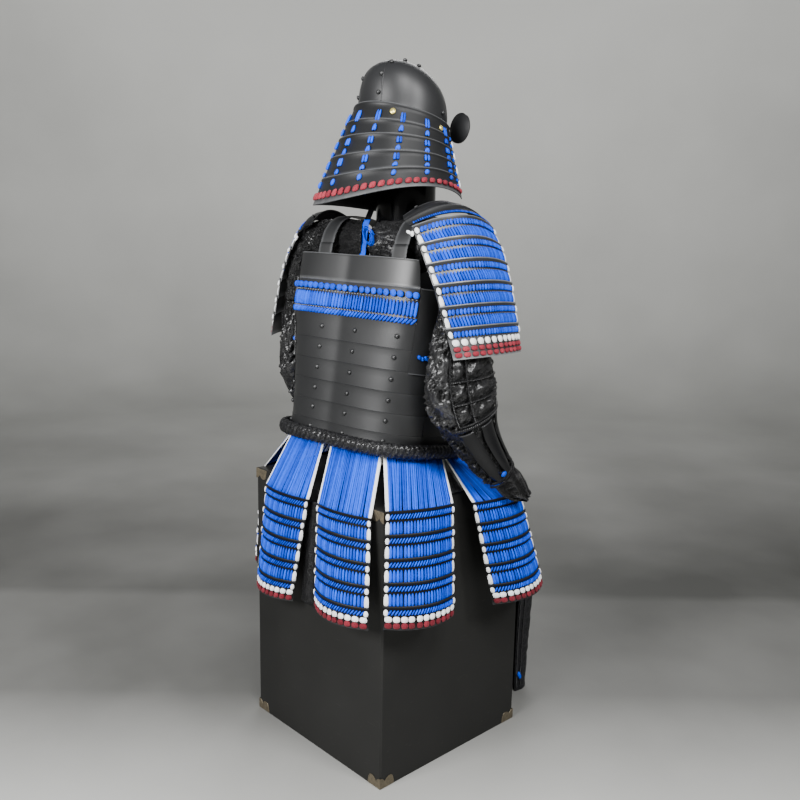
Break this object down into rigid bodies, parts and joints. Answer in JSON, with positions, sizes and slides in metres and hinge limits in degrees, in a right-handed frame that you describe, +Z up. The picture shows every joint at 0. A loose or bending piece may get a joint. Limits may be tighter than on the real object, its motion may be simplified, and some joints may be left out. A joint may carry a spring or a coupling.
{
  "type": "samurai armour on a box stand",
  "caption": "Laced lamellar plate armour with a riveted domed helmet, worn hollow on a post that stands on a square storage box.",
  "frame": {"origin": "centre of the storage box's underside, on the floor", "axes": "+Z up, the armour faces -Y and its right arm is on -X"},
  "size_m": [0.7049, 0.7249, 1.6019],
  "materials": {
    "black_lacquer": "satin black lacquer over thin steel",
    "black_brocade": "crinkled black brocade",
    "blue_lacing": "royal blue flat silk cord",
    "box_lacquer": "satin black lacquer over thin board",
    "stand_gloss": "gloss black lacquer"
  },
  "bodies": {
    "root": {"do_back_lames": "black_lacquer", "do_back_upper": "black_lacquer", "do_front_lames": "black_lacquer", "do_front_upper": "black_lacquer", "do_side_plate_left": "black_lacquer", "do_side_plate_right": "black_lacquer", "fukigaeshi_left": "black_lacquer", "fukigaeshi_right": "black_lacquer", "hachi_bowl": "black_lacquer", "haidate_left": "black_brocade", "haidate_right": "black_brocade", "kote_hand_left": "black_brocade", "kote_hand_right": "black_brocade", "kote_shoulder_left": "black_brocade", "kote_shoulder_right": "black_brocade", "kote_sleeve_left": "black_brocade", "kote_sleeve_right": "black_brocade", "kote_splint_front_left": "black_lacquer", "kote_splint_front_right": "black_lacquer", "kote_splint_outer_left": "black_lacquer", "kote_splint_outer_right": "black_lacquer", "kote_splint_rear_left": "black_lacquer", "kote_splint_rear_right": "black_lacquer", "kusazuri_back_left": "black_lacquer", "kusazuri_back_right": "black_lacquer", "kusazuri_front": "black_lacquer", "kusazuri_front_left": "black_lacquer", "kusazuri_front_right": "black_lacquer", "kusazuri_lacing_back_left": "blue_lacing", "kusazuri_lacing_back_right": "blue_lacing", "kusazuri_lacing_front": "blue_lacing", "kusazuri_lacing_front_left": "blue_lacing", "kusazuri_lacing_front_right": "blue_lacing", "kusazuri_lacing_left": "blue_lacing", "kusazuri_lacing_right": "blue_lacing", "kusazuri_left": "black_lacquer", "kusazuri_right": "black_lacquer", "mabizashi_visor": "black_lacquer", "nape_ribbon": "blue_lacing", "sash_end_back": "black_brocade", "sash_end_side": "black_brocade", "shikoro_1": "black_lacquer", "shikoro_2": "black_lacquer", "shikoro_3": "black_lacquer", "shikoro_4": "black_lacquer", "shikoro_5": "black_lacquer", "sode_cap_left": "black_lacquer", "sode_cap_right": "black_lacquer", "sode_left": "black_lacquer", "sode_right": "black_lacquer", "stand_box": "box_lacquer", "stand_head": "stand_gloss", "stand_lid": "box_lacquer", "stand_post": "stand_gloss", "stand_shoulder_bar": "stand_gloss", "suneate_left": "black_brocade", "suneate_right": "black_brocade", "waist_belt": "black_brocade", "watagami_left": "black_lacquer", "watagami_right": "black_lacquer"}
  },
  "joints": []
}
